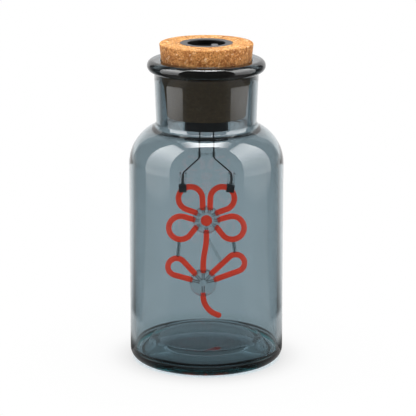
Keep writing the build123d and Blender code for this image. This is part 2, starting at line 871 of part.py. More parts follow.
def stem_strut(tubes):
    """Slanted clear rod from the stem to the upper side of the right leaf."""
    leaf = leaf_points(1)
    span = leaf["tangent_above"] - leaf["end_above"]
    last = leaf["end_above"] + span * strut_leaf_share
    first = Vector(0, 0, bloom_height - tube_end_reach - stem_straight)
    rod = rod_between(first, last, strut_radius)
    for tube in tubes:
        rod -= tube
    return rod


def build_parts():
    """Every sub-part by node name."""
    paths = flower_paths()
    tubes = {name: tube_along(path, tube_radius) for name, path in paths.items()}
    sockets = {name: tube_along(path, tube_radius + tube_fit) for name, path in paths.items()}
    stem_end = paths["stem_lower"][-1] @ 1
    tubes["stem_lower"] += Pos(stem_end) * Sphere(tube_radius)
    bloom_names = [name for name in paths if name.startswith("petal") or name == "stem_upper"]
    joint_names = [name for name in paths if name.startswith("leaf") or name.startswith("stem")]
    parts = {
        "glass_bottle": glass_bottle(),
        "cork_stopper": cork_stopper(),
        "pod_shell": pod_shell(),
        "pod_top": pod_top(),
        "power_button": power_button(),
        "switch_plunger": switch_plunger(),
        "switch_body": switch_body(),
        "usb_shell": usb_shell(),
        "usb_tongue": usb_tongue(),
        "circuit_board": circuit_board(),
        "board_chips": board_chips(),
        "board_screws": board_screws(),
        "battery_cell": battery_cell(),
        "battery_tabs": battery_tabs(),
        "battery_leads": battery_leads(),
        "foam_pad_lower": foam_pad_lower(),
        "foam_pad_upper": foam_pad_upper(),
        "wire_grommets": wire_grommets(),
        "wire_spreader": wire_spreader(),
        "wire_crimps": wire_crimps(),
        "bloom_centre": bloom_centre(),
        "bloom_hub": hub(0, bloom_height, [sockets[name] for name in bloom_names] + [lens_hole()]),
        "stem_joint": hub(joint_offset_x, joint_height, [sockets[name] for name in joint_names]),
        "stem_strut": stem_strut([sockets["stem_upper"], sockets["leaf_right"]]),
    }
    for side, word in ((-1, "left"), (1, "right")):
        petal = sockets["petal_upper_" + word]
        pair = [sockets["petal_side_" + word], sockets["leaf_" + word]]
        parts["lead_wire_" + word] = lead_wire(side)
        parts["clip_block_" + word] = clip_block(side, [petal])
        parts["clip_shroud_" + word] = clip_shroud(side)
        parts["leaf_brace_" + word] = leaf_brace(side, pair)
    brace_sockets = [sockets[name] for name in paths if name.startswith(("petal_side", "leaf"))]
    parts["brace_wires"] = brace_wires(brace_sockets)
    parts.update(tubes)
    return parts


for node, shape in build_parts().items():
    export_step(shape, "parts/" + node + ".step")
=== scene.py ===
"""Cork bottle light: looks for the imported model, in metres, with +Z up and the front towards -Y."""
import json

import bmesh
import bpy
import numpy as np
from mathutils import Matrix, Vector


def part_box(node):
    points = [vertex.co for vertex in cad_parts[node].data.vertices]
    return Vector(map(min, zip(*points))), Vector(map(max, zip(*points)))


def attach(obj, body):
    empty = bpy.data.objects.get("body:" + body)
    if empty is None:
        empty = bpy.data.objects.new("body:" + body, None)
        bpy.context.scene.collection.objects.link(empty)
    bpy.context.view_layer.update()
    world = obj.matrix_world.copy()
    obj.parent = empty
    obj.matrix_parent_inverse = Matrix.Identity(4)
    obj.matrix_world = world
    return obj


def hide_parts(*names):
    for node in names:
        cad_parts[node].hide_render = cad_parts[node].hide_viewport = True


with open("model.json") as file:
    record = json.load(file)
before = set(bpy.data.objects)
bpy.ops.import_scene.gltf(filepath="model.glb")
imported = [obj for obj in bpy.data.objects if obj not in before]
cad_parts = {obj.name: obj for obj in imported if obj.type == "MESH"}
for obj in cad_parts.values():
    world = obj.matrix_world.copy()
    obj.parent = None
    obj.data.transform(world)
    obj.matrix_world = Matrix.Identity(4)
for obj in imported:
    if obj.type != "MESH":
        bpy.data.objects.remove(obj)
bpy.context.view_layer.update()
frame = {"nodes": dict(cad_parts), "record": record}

MM = 0.001
TURN = 2 * np.pi
QUARTER = np.pi / 2
NODES = frame["nodes"]
LIP_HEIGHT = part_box("glass_bottle")[1][2] / MM
WHITE = (1, 1, 1, 1)

# Bottle, in millimetres, the same outline as its solid
BODY_RADIUS = 47.5
WALL = 3.1
HEEL_RADIUS = 6.2
SHOULDER_RADIUS = 26.0
SHOULDER_AXIS = BODY_RADIUS - SHOULDER_RADIUS
SHOULDER_TOP_THICKNESS = 3.2
INNER_SHOULDER_INSET = 1.9
NECK_LENGTH = 27.8
NECK_BASE_RADIUS = 30.7
NECK_TOP_RADIUS = 31.7
NECK_ROOT_RISE = 1.6
NECK_ROOT_FLARE = 0.04
NECK_FILLETS = (2.2, 1.6, 0.5, 0.3)
COLLAR_RADIUS = 31.95
COLLAR_HEIGHT = 8.8
COLLAR_BEVEL = 0.6
COLLAR_STOP = 0.5
BEAD_CENTRE_RADIUS = 32.4
BEAD_SECTION = 3.8
BORE_BASE_RADIUS = 27.3
BORE_LIP_RADIUS = 27.8
BORE_FILLET = 3.0
LIP_FILLET = 1.4
FLOOR_EDGE = 5.0
FLOOR_FILLET = 2.6
FLOOR_RISE_RADIUS = 40.2
FLOOR_RISE_FILLET = 2.0
FLOOR_PLATEAU_RADIUS = 34.0
FLOOR_PLATEAU_HEIGHT = 13.0
FLOOR_PLATEAU_FILLET = 5.0
FLOOR_CROWN = 14.0
FOOT_RING_RADIUS = 38.4
FOOT_FILLET = 0.8
PUNT_RING_RADIUS = 29.6
PUNT_RING_HEIGHT = 8.0
PUNT_CROWN = 9.0
PUNT_FILLET = 1.8
NECK_TOP = LIP_HEIGHT - BEAD_SECTION - COLLAR_HEIGHT
SHOULDER_END = NECK_TOP - NECK_LENGTH
SHOULDER_ANGLE = float(np.arccos((NECK_BASE_RADIUS - SHOULDER_AXIS) / SHOULDER_RADIUS))
SHOULDER_START = SHOULDER_END - SHOULDER_RADIUS * float(np.sin(SHOULDER_ANGLE))

# Where the bottle's arcs stop short of their corners, in radians, to leave room for the fillets
SHOULDER_TRIM = 0.11
BEAD_TRIM = 0.18
INNER_TRIM = 0.1
# How far the shoulder's line runs on to the neck's root, in lengths of its last step
NECK_ROOT_REACH = 2.2

# How finely the bottle is cut: points per arc, least and longest step in millimetres, segments round it
CROWN_POINTS = 24
FOOT_POINTS = 14
SHOULDER_POINTS = 48
NECK_POINTS = 9
BEAD_POINTS = 40
LIP_POINTS = 12
INNER_POINTS = 44
OUTLINE_LEAST_STEP = 0.02
OUTLINE_LONGEST_STEP = 6.0
BOTTLE_SEGMENTS = 256

# Cork, in millimetres and degrees: taper, the pod's hole and its flange's seat, and the skin that pits reach
CORK_TAPER = 6.2
CORK_HOLE_RADIUS = 13.35
FLANGE_SEAT_RADIUS = 16.1
FLANGE_SEAT_DEPTH = 1.2
CORK_FOOT_FILLET = 0.7
CORK_EDGE_FILLET = 0.8
CORK_STEP = 0.55
CORK_FILLET_POINTS = 6
CORK_SEGMENTS = 420
CORK_SIDE_SKIN = 0.3
CORK_TOP_SKIN = 0.05

# Pits in the cork: number, share of them on its top, least and greatest sizes, tilt, and margins to edges
PIT_SEED = 11
PIT_COUNT = 520
PIT_TOP_SHARE = 0.42
PIT_LENGTHS = (0.35, 1.5)
PIT_WIDTHS = (0.25, 0.6)
PIT_DEPTHS = (0.1, 0.42)
PIT_TILT = 0.7
PIT_SEAT_MARGIN = 0.6
PIT_EDGE_MARGIN = 0.9
PIT_SIDE_MARGIN = 1

# Flower of light tube, in millimetres and degrees
TUBE_RADIUS = 1.75
TUBE_SIDES = 28
TUBE_STEP = 0.55
TUBE_END = 6.6
TUBE_END_OFFSET = 2.05
TIP_POINTS = 40
PETAL_REACH, PETAL_TIP = 24.2, 7.4
UPPER_PETAL_ANGLE, SIDE_PETAL_ANGLE = 54.0, -18.0
LEAF_TIP = 5.5
BRACE_LEFT, BRACE_RIGHT = 12.3, 9.8
BRACE_LEAN = 5.7
BLOOM = (0.0, float(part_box("bloom_centre")[0][2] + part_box("bloom_centre")[1][2]) / 2 / MM)
JOINT = (-2.0, BLOOM[1] - 40.5)

# Bare twin wires in the flower's two clear hubs, in millimetres
LINK_RADIUS = 0.26
LINK_SIDES = 10
LINK_GAP = 0.62
LINK_INNER_BLOOM = 4.6
LINK_INNER_JOINT = 1.9
LINK_LAP = 0.4
LINK_POINTS = 8

# Smoked glass: tint and painted shade by share of 200 mm of height, and painted lines on the heel by share of
# 10 mm, outside a radius
BODY_TINT = (0.485, 0.56, 0.595)
GLASS_TINT_HEIGHT = 0.2
# The smoke tint, darker at the bottom and up the neck, and a painted shade that turns the bead nearly black
GLASS_TINTS_AND_SHADE = (
    (0.0, (0.38, 0.47, 0.5)), (0.045, (0.38, 0.47, 0.5)), (0.08, BODY_TINT), (0.5, BODY_TINT),
    (0.7, (0.44, 0.51, 0.54)), (0.76, (0.37, 0.43, 0.46)), (0.90, (0.33, 0.385, 0.41)),
    (0.915, (0.06, 0.075, 0.08)),
)
HEEL_LINES_HEIGHT = 0.01
HEEL_LINES_RADIUS = 0.0455
# Painted dark lines of shade low on the heel, with a painted light line between them
HEEL_PAINTED_LINES = (
    (0.0, (0.004, 0.12, 0.13)), (0.36, (0.004, 0.11, 0.12)), (0.48, (0.002, 0.006, 0.0065)),
    (0.64, (0.004, 0.006, 0.0065)), (0.71, (0.2, 0.24, 0.26)), (0.77, (0.003, 0.003, 0.003)),
    (0.87, (0.003, 0.003, 0.003)), (0.96, (0.46, 0.535, 0.57)), (1.0, BODY_TINT),
)
# How the glass absorbs by depth, and how it dims the lamps
GLASS_DEPTH_TINT = (0.0, 0.136, 0.2, 1)
GLASS_DENSITY = 10.0
GLASS_LAMP_TINT = (0.68, 0.72, 0.74, 1)

# Cork: tones of its granules, how finely they lie, how far they are bent, and the seams between them
GRANULE_TONES = (
    (0.0, (0.42, 0.165, 0.045)), (0.3, (0.60, 0.28, 0.088)), (0.75, (0.78, 0.42, 0.145)),
    (0.93, (0.86, 0.51, 0.21)), (1.0, (0.98, 0.74, 0.48)),
)
GRANULE_SCALE = 860.0
GRANULE_BEND = (0.0012, 0.0012, 0.0012)
SEAM_TONES = ((0.0, (0.55, 0.5, 0.45)), (0.09, (1, 1, 1)))
CLOUD_TONES = ((0.3, (0.8, 0.74, 0.68)), (0.7, (1.12, 1.1, 1.05)))
PORE_EDGE = ((0.37, 0), (0.44, 1))
PORE_TONE = (0.07, 0.022, 0.008, 1)
# By share of the height from 150 to 200 mm: the side's redder, darker tone, a painted shade against the top,
# up to the top's edge, and how far the part in the neck turns plain dark brown, a painted shade
CORK_SHADE_HEIGHTS = (0.15, 0.2)
CORK_SIDE_SHADE = ((0.95, (0.96, 0.84, 0.74)), (0.962, (1, 1, 1)))
CORK_NECK_SHADE = ((0.0, 0.88), (0.715, 0.88), (0.74, 0))
CORK_NECK_SHADE_TONE = (0.17, 0.105, 0.055, 1)

# Moulded and plated pieces: least and greatest tone and roughness, against those that each is given
MOULDED_DARK, MOULDED_LIGHT = 0.82, 1.15
MOULDED_SHEEN = (-0.05, 0.06)
PLATED_DARK = 0.85
PLATED_SHEEN = (0.7, 1.3)
# The stopper's recess: its top and depth in metres, and how dark it is by share of the height from its depths
RECESS_TOP = float(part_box("pod_top")[1][2])
RECESS_DEPTH = 0.01
RECESS_SHADE = ((0.0, 0.45), (0.3, 0.03), (0.9, 0.03), (0.97, 1))
# Red light tube and clear plastic
SILICONE_TONES = ((0.3, (0.80, 0.062, 0.028)), (0.7, (0.95, 0.085, 0.04)))
# A weak painted glow that brightens the red tube
SILICONE_PAINTED_GLOW, SILICONE_PAINTED_GLOW_STRENGTH = (1.0, 0.05, 0.02, 1), 0.45
# Clear plastic: its faint grey tint, and painted shade where it is seen edge on
CLEAR_TINT_AND_EDGE_SHADE = ((0.0, (0.82, 0.86, 0.86)), (0.6, (0.7, 0.75, 0.76)), (0.85, (0.08, 0.09, 0.09)))
CLEAR_LAMP_TINT = (0.93, 0.95, 0.96, 1)

# Camera: where it stands, what it looks at, its lens and its sideways shift
CAMERA_PLACE = (0.0, -1.281456, 0.421044)
CAMERA_AIM = (0.0, 0.0, 0.094727)
CAMERA_LENS = 185.09
CAMERA_SHIFT = 0.00385

# Side soft boxes: distance from the bottle's axis and height in metres, glow by share of the height, matte
# light, and for each box where it starts and ends, in degrees right of the front, and its radiance
BOX_DISTANCE = 0.44
BOX_HEIGHT = 0.9
BOX_HEAT = (
    (0.0, 0.0), (0.006, 0.02), (0.018, 0.11), (0.04, 0.13), (0.06, 0.24), (0.12, 0.26), (0.184, 0.26),
    (0.329, 0.48), (0.463, 0.8), (0.6, 1.0), (0.75, 0.88), (0.9, 0.8), (1.0, 0.3),
)
BOX_FILL = 1.6
LEFT_BOX = (-53.0, -97.0, 7.0)
RIGHT_BOX = (54.5, 106.0, 6.0)

# Overhead soft box: place, aim and depth in metres, radiance, and glow by distance to the left or right of
# its middle
OVERHEAD_PLACE = (0, -0.07, 1.45)
OVERHEAD_AIM = (0, -0.07, 0.1)
OVERHEAD_DEPTH = 0.46
OVERHEAD_RADIANCE = 14.0
OVERHEAD_HEAT = ((0.0, 1.0), (0.16, 1.0), (0.28, 0.78), (0.42, 0.3), (0.6, 0.0))

# Studio: the world's tone in reflections and for matte surfaces, and the backdrop's size and place in metres
STUDIO_IN_REFLECTIONS = (0.16, 0.165, 0.17, 1)
STUDIO_FILL = (0.6, 0.6, 0.6, 1)
BACKDROP_HALF_WIDTH, BACKDROP_HEIGHT, BACKDROP_DISTANCE = 2.4, 2.6, 3.0

# Floor: half its width, its gap under the bottle, its matte tone and the reach of its paint, in metres
FLOOR_HALF_WIDTH = 6.0
FLOOR_GAP = 0.0002
FLOOR_TONE = 0.84
FLOOR_PAINT_REACH = 0.13
# Under the bottle: matte tone by share of that reach, darkened as a painted shadow, the strength of a painted
# glow, and from where to where the glow and the paling of the painted soft shadow set in, in metres
FLOOR_SHADOW_UNDER = ((0.0, 0.17), (0.2, 0.17), (0.3, FLOOR_TONE))
FLOOR_PAINTED_GLOW = 0.2
FLOOR_PAINTED_GLOW_RING = (0.026, 0.045)
FLOOR_FOOT_RING = (0.044, 0.0478)
# Round the bottle: how it pales from the painted soft shadow outwards
FLOOR_PAINTED_SHADOW = (
    (0.34, 0.74), (0.385, 0.85), (0.423, 0.905), (0.46, 0.95), (0.51, 0.978), (0.62, 0.992), (1.0, 1.0),
)
# In reflections: tone by sector, 0 behind the bottle to 1 in front of it, and two lighter rings near it, one
# aside and one ahead, each with its strength by distance and by sector
FLOOR_SECTORS = (
    (0.0, 1), (0.15, 1), (0.2, 0.75), (0.26, 0.35), (0.34, 0.08), (0.45, 0.05), (0.465, 0.35),
    (0.68, 0.35), (0.76, 0.13),
)
RING_ASIDE = ((0.5, 0.12), (0.6, 0.5), (0.9, 0.5), (1.0, 0))
SECTOR_ASIDE = ((0.42, 1), (0.5, 0.3), (0.68, 0))
RING_AHEAD = ((0.54, 0), (0.565, 1), (0.755, 1), (0.785, 0))
SECTOR_AHEAD = ((0.58, 0), (0.72, 1))
RING_AHEAD_TONE = (0.85, 1.2, 1.35, 1)


# Mesh helpers
def make_piece(name, points, faces, body, material):
    """A smooth mesh from points in millimetres and faces, dressed and riding on a body."""
    mesh = bpy.data.meshes.new(name)
    mesh.from_pydata((np.asarray(points, dtype=float) * MM).tolist(), [], [list(f) for f in faces])
    mesh.update()
    mesh.polygons.foreach_set("use_smooth", [True] * len(mesh.polygons))
    obj = bpy.data.objects.new(name, mesh)
    bpy.context.scene.collection.objects.link(obj)
    mesh.materials.append(material)
    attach(obj, body)
    return obj


def outward(obj):
    """Turns the faces of a closed piece outwards."""
    shell = bmesh.new()
    shell.from_mesh(obj.data)
    bmesh.ops.recalc_face_normals(shell, faces=shell.faces)
    shell.to_mesh(obj.data)
    shell.free()


def grid_faces(rows, columns, close_rows=False, close_columns=False):
    """Quads of a rows x columns grid of points, wrapped round in either direction."""
    row = np.arange(rows if close_rows else rows - 1)
    column = np.arange(columns if close_columns else columns - 1)
    r, c = [a.ravel() for a in np.meshgrid(row, column, indexing="ij")]
    r2, c2 = (r + 1) % rows, (c + 1) % columns
    return np.stack([r * columns + c, r * columns + c2, r2 * columns + c2, r2 * columns + c], axis=1)


def revolve(profile, segments):
    """Points of a (radius, height) profile turned about the Z axis: x = r cos t, y = r sin t, z = h."""
    angle = np.linspace(0, TURN, segments, endpoint=False)
    radius, height = profile[:, 0:1], profile[:, 1:2]
    x, y = radius * np.cos(angle), radius * np.sin(angle)
    return np.stack([x, y, np.broadcast_to(height, x.shape)], axis=2).reshape(-1, 3)


def arc(centre, radius, start, end, count):
    """Points of an arc round a (radius, height) centre, from angle start to angle end in radians."""
    angle = np.linspace(start, end, count)
    return np.stack([centre[0] + radius * np.cos(angle), centre[1] + radius * np.sin(angle)], axis=1)


def bow(half_width, edge, crown):
    """Radius and span of the arc that rises from a ring at the edge's height to a crown on the axis."""
    rise = crown - edge
    radius = (half_width ** 2 + rise ** 2) / (2 * rise)
    return radius, np.arcsin(half_width / radius)


def half_turned(angle):
    """An angle in radians brought between minus and plus half a turn."""
    return (angle + np.pi) % TURN - np.pi


def round_corners(points, radii, count):
    """A (radius, height) polyline whose corners are replaced by tangent arcs of the given radii."""
    points = np.asarray(points, dtype=float)
    line = [points[0:1]]
    for before, corner, after, radius in zip(points[:-2], points[1:-1], points[2:], radii):
        if radius <= 0:
            line.append(corner[None])
            continue
        into, out = before - corner, after - corner
        into, out = into / np.linalg.norm(into), out / np.linalg.norm(out)
        half = np.arccos(np.clip(np.dot(into, out), -1, 1)) / 2
        reach = radius / np.tan(half)
        centre = corner + (into + out) / np.linalg.norm(into + out) * radius / np.sin(half)
        first, last = corner + into * reach - centre, corner + out * reach - centre
        start = np.arctan2(first[1], first[0])
        sweep = half_turned(np.arctan2(last[1], last[0]) - start)
        line.append(arc(centre, radius, start, start + sweep, count))
    line.append(points[-1:])
    return np.concatenate(line)


def subdivide(profile, step):
    """A profile with more points on its long runs, no two further apart than step."""
    parts = []
    for a, b in zip(profile[:-1], profile[1:]):
        count = max(1, int(np.ceil(np.linalg.norm(b - a) / step)))
        share = np.arange(count)[:, None] / count
        parts.append(a + (b - a) * share)
    return np.concatenate(parts + [profile[-1:]])


# Shader node helpers
def new_material(name):
    """An empty material, its node tree and its Principled shader."""
    material = bpy.data.materials.new(name)
    material.use_nodes = True
    tree = material.node_tree
    return material, tree, tree.nodes["Principled BSDF"]


def new_glow(name):
    """An empty material and its node tree, with no shader."""
    material, tree, shader = new_material(name)
    tree.nodes.remove(shader)
    return material, tree


def to_output(tree, socket, name="Surface"):
    """Links a socket to the material's output."""
    tree.links.new(socket, tree.nodes["Material Output"].inputs[name])


def node(tree, kind, settings=(), **inputs):
    """A node of a kind, with its settings and its socket values or links."""
    made = tree.nodes.new(kind)
    for key, value in dict(settings).items():
        setattr(made, key, value)
    for key, value in inputs.items():
        socket = made.inputs[int(key[1:])] if key[0] == "_" else made.inputs[key.replace("_", " ")]
        if isinstance(value, bpy.types.NodeSocket):
            tree.links.new(value, socket)
        else:
            socket.default_value = value
    return made


def set_inputs(shader, **values):
    """Sets a shader's plain socket values."""
    for key, value in values.items():
        shader.inputs[key.replace("_", " ")].default_value = value


def ramp(tree, factor, stops):
    """A colour ramp through (place, colour) stops."""
    made = tree.nodes.new("ShaderNodeValToRGB")
    elements = made.color_ramp.elements
    while len(elements) < len(stops):
        elements.new(0.5)
    for element, (place, colour) in zip(elements, stops):
        element.position = place
        element.color = (*colour, 1.0)
    tree.links.new(factor, made.inputs["Fac"])
    return made.outputs["Color"]


def grey_ramp(tree, factor, stops):
    """A ramp of greys through (place, value) stops."""
    return ramp(tree, factor, [(place, (value,) * 3) for place, value in stops])


def object_place(tree):
    """The point being shaded, in the piece's own coordinates."""
    return node(tree, "ShaderNodeTexCoord").outputs["Object"]


def axes_of(tree, place):
    """The coordinates of a point, by letter."""
    return node(tree, "ShaderNodeSeparateXYZ", Vector=place).outputs


def length_of(tree, vector):
    """The length of a vector."""
    return node(tree, "ShaderNodeVectorMath", {"operation": "LENGTH"}, _0=vector).outputs["Value"]


def noise(tree, place, scale, detail, **inputs):
    """Smooth noise between 0 and 1."""
    made = node(tree, "ShaderNodeTexNoise", Vector=place, Scale=scale, Detail=detail, **inputs)
    return made.outputs["Fac"]


def maths(tree, operation, *values):
    """The result of a sum, product or comparison of values or sockets."""
    inputs = {f"_{index}": value for index, value in enumerate(values)}
    return node(tree, "ShaderNodeMath", {"operation": operation}, **inputs).outputs[0]


def map_range(tree, value, start, end, first=0.0, last=1.0, kind="LINEAR"):
    """A value carried from the range start to end over to the range first to last."""
    made = node(tree, "ShaderNodeMapRange", {"interpolation_type": kind}, Value=value,
                From_Min=start, From_Max=end, To_Min=first, To_Max=last)
    return made.outputs["Result"]


def blend(tree, share, first, second, kind="MIX"):
    """Two colours mixed, multiplied or lightened by a share."""
    settings = {"data_type": "RGBA", "blend_type": kind}
    return node(tree, "ShaderNodeMix", settings, _0=share, _6=first, _7=second).outputs[2]


def mix_shaders(tree, share, first, second):
    """Two shaders mixed by a share."""
    return node(tree, "ShaderNodeMixShader", _0=share, _1=first, _2=second).outputs["Shader"]


def emission(tree, colour, strength=1.0):
    """A plain glow."""
    return node(tree, "ShaderNodeEmission", Color=colour, Strength=strength).outputs["Emission"]


def light_path(tree, fact):
    """A fact about the ray being traced."""
    return node(tree, "ShaderNodeLightPath").outputs[fact]


def bounced(tree, kind):
    """1 for a ray after a bounce of a kind, Glossy or Diffuse, and 0 before one."""
    return maths(tree, "GREATER_THAN", light_path(tree, kind + " Depth"), 0.5)


def unbounced(tree, kind):
    """1 for a ray before any bounce of a kind, Glossy or Diffuse, and 0 after one."""
    return maths(tree, "LESS_THAN", light_path(tree, kind + " Depth"), 0.5)


def add_bump(tree, shader, height, strength, distance):
    """Gives a shader a fine relief."""
    relief = node(tree, "ShaderNodeBump", Strength=strength, Distance=distance, Height=height)
    tree.links.new(relief.outputs["Normal"], shader.inputs["Normal"])


def clear_to_lamps(tree, shader, tint):
    """Lets the lamps' rays through a glassy piece, dimmed by a tint."""
    clear = node(tree, "ShaderNodeBsdfTransparent", Color=tint).outputs["BSDF"]
    to_output(tree, mix_shaders(tree, light_path(tree, "Is Shadow Ray"), shader.outputs["BSDF"], clear))


# Materials
def smoke_glass_material():
    """Smoke-tinted glass with painted dark bands of shade on its heel and lip, which absorbs by depth and
    dims the lamps.
    """
    material, tree, shader = new_material("smoke_glass")
    set_inputs(shader, Roughness=0.0, IOR=1.5, Transmission_Weight=1.0)
    place = object_place(tree)
    axes = axes_of(tree, place)
    # The smoke tint with painted shade on the bead, and painted dark and light lines low on the heel's
    # outside
    skin = ramp(tree, map_range(tree, axes["Z"], 0.0, GLASS_TINT_HEIGHT), GLASS_TINTS_AND_SHADE)
    heel_painted_lines = ramp(tree, map_range(tree, axes["Z"], 0.0, HEEL_LINES_HEIGHT), HEEL_PAINTED_LINES)
    flat = node(tree, "ShaderNodeCombineXYZ", X=axes["X"], Y=axes["Y"]).outputs["Vector"]
    outside = maths(tree, "GREATER_THAN", length_of(tree, flat), HEEL_LINES_RADIUS)
    low = maths(tree, "LESS_THAN", axes["Z"], HEEL_LINES_HEIGHT)
    tinted = blend(tree, maths(tree, "MULTIPLY", outside, low), skin, heel_painted_lines)
    tree.links.new(tinted, shader.inputs["Base Color"])
    add_bump(tree, shader, noise(tree, place, scale=14.0, detail=0.0), strength=0.02, distance=0.002)
    clear_to_lamps(tree, shader, GLASS_LAMP_TINT)
    depth = node(tree, "ShaderNodeVolumeAbsorption", Color=GLASS_DEPTH_TINT, Density=GLASS_DENSITY)
    to_output(tree, depth.outputs["Volume"], "Volume")
    return material


def cork_material():
    """Pressed cork: granules of several browns with pores and pale chips, its side painted darker than its
    top as shade, and painted plain and dark down in the neck as shade.
    """
    material, tree, shader = new_material("cork")
    place = object_place(tree)
    warp = node(tree, "ShaderNodeTexNoise", Vector=place, Scale=700.0, Detail=3.0).outputs["Color"]
    bent = node(tree, "ShaderNodeVectorMath", {"operation": "MULTIPLY_ADD"},
                _0=warp, _1=GRANULE_BEND, _2=place).outputs["Vector"]
    lattice = {"Vector": bent, "Scale": GRANULE_SCALE}
    granule = node(tree, "ShaderNodeTexVoronoi", Randomness=1.0, **lattice).outputs["Color"]
    granule_tone = node(tree, "ShaderNodeSeparateColor", Color=granule).outputs["Red"]
    base = ramp(tree, granule_tone, GRANULE_TONES)
    cloud = ramp(tree, noise(tree, place, scale=110.0, detail=4.0), CLOUD_TONES)
    toned = blend(tree, 1.0, base, cloud, "MULTIPLY")
    pore = noise(tree, place, scale=1900.0, detail=3.0, Roughness=0.7)
    pored = blend(tree, grey_ramp(tree, pore, PORE_EDGE), PORE_TONE, toned)
    seam = node(tree, "ShaderNodeTexVoronoi", {"feature": "DISTANCE_TO_EDGE"}, **lattice).outputs["Distance"]
    seamed = blend(tree, 1.0, pored, ramp(tree, seam, SEAM_TONES), "MULTIPLY")
    rise = map_range(tree, axes_of(tree, place)["Z"], *CORK_SHADE_HEIGHTS)
    # Painted shade: the side darker and redder than the top
    side_shaded = blend(tree, 1.0, seamed, ramp(tree, rise, CORK_SIDE_SHADE), "MULTIPLY")
    # Painted shade: plain dark brown down in the neck
    neck_shaded = blend(tree, grey_ramp(tree, rise, CORK_NECK_SHADE), side_shaded, CORK_NECK_SHADE_TONE)
    tree.links.new(neck_shaded, shader.inputs["Base Color"])
    set_inputs(shader, Roughness=0.88, Specular_IOR_Level=0.25)
    add_bump(tree, shader, pore, strength=0.7, distance=0.0003)
    return material


def moulded_material(name, colour, roughness, grain=1800.0, depth=0.00004, specular=0.5):
    """Moulded plastic or rubber with a fine spark-eroded grain and faint tone changes."""
    material, tree, shader = new_material(name)
    place = object_place(tree)
    broad = noise(tree, place, scale=70.0, detail=2.0)
    dark = [c * MOULDED_DARK for c in colour]
    light = [min(1.0, c * MOULDED_LIGHT) for c in colour]
    tree.links.new(ramp(tree, broad, [(0.3, dark), (0.7, light)]), shader.inputs["Base Color"])
    smooth, dull = MOULDED_SHEEN
    sheen = map_range(tree, broad, 0.0, 1.0, roughness + smooth, roughness + dull)
    tree.links.new(sheen, shader.inputs["Roughness"])
    add_bump(tree, shader, noise(tree, place, scale=grain, detail=2.0), strength=0.35, distance=depth)
    set_inputs(shader, Specular_IOR_Level=specular)
    return material


def shade_recess(material):
    """Darkens a moulded material down in the stopper's recess, below the flange's top face."""
    tree = material.node_tree
    base = tree.nodes["Principled BSDF"].inputs["Base Color"]
    plain = base.links[0].from_socket
    rise = map_range(tree, axes_of(tree, object_place(tree))["Z"], RECESS_TOP - RECESS_DEPTH, RECESS_TOP)
    tree.links.new(blend(tree, 1.0, plain, grey_ramp(tree, rise, RECESS_SHADE), "MULTIPLY"), base)


def silicone_material():
    """Semi-matte red silicone, brightened by a weak painted glow."""
    material, tree, shader = new_material("red_silicone")
    place = object_place(tree)
    colour = ramp(tree, noise(tree, place, scale=120.0, detail=3.0), SILICONE_TONES)
    tree.links.new(colour, shader.inputs["Base Color"])
    add_bump(tree, shader, noise(tree, place, scale=1600.0, detail=2.0), strength=0.25, distance=0.00005)
    set_inputs(shader, Roughness=0.62, Specular_IOR_Level=0.15)
    # Painted glow that brightens the tube
    set_inputs(shader, Emission_Color=SILICONE_PAINTED_GLOW, Emission_Strength=SILICONE_PAINTED_GLOW_STRENGTH)
    return material


def metal_material(name, colour, roughness):
    """Plated metal with fine rolling marks."""
    material, tree, shader = new_material(name)
    stretch = node(tree, "ShaderNodeMapping", Vector=object_place(tree), Scale=(900.0, 900.0, 60.0))
    marks = noise(tree, stretch.outputs["Vector"], scale=1.0, detail=2.0)
    dark = [c * PLATED_DARK for c in colour]
    tree.links.new(ramp(tree, marks, [(0.3, dark), (0.7, colour)]), shader.inputs["Base Color"])
    smooth, dull = PLATED_SHEEN
    sheen = map_range(tree, marks, 0.0, 1.0, roughness * smooth, roughness * dull)
    tree.links.new(sheen, shader.inputs["Roughness"])
    set_inputs(shader, Metallic=1.0)
    return material


def clear_plastic_material():
    """Clear moulded plastic with a faint grey tint and painted shade that darkens it where it is seen edge
    on.
    """
    material, tree, shader = new_material("clear_plastic")
    facing = node(tree, "ShaderNodeLayerWeight", Blend=0.5).outputs["Facing"]
    # Painted shade where the plastic is seen edge on
    tree.links.new(ramp(tree, facing, CLEAR_TINT_AND_EDGE_SHADE), shader.inputs["Base Color"])
    set_inputs(shader, Roughness=0.06, IOR=1.45, Transmission_Weight=1.0)
    flow = noise(tree, object_place(tree), scale=260.0, detail=2.0)
    add_bump(tree, shader, flow, strength=0.12, distance=0.0003)
    clear_to_lamps(tree, shader, CLEAR_LAMP_TINT)
    return material


SMOKE_GLASS = smoke_glass_material()
CORK = cork_material()
BLACK_PLASTIC = moulded_material("black_plastic", (0.062, 0.062, 0.063), 0.42, specular=0.12)
shade_recess(BLACK_PLASTIC)
CRIMP_METAL = metal_material("crimp_metal", (0.30, 0.29, 0.28), 0.38)
RED_SILICONE = silicone_material()

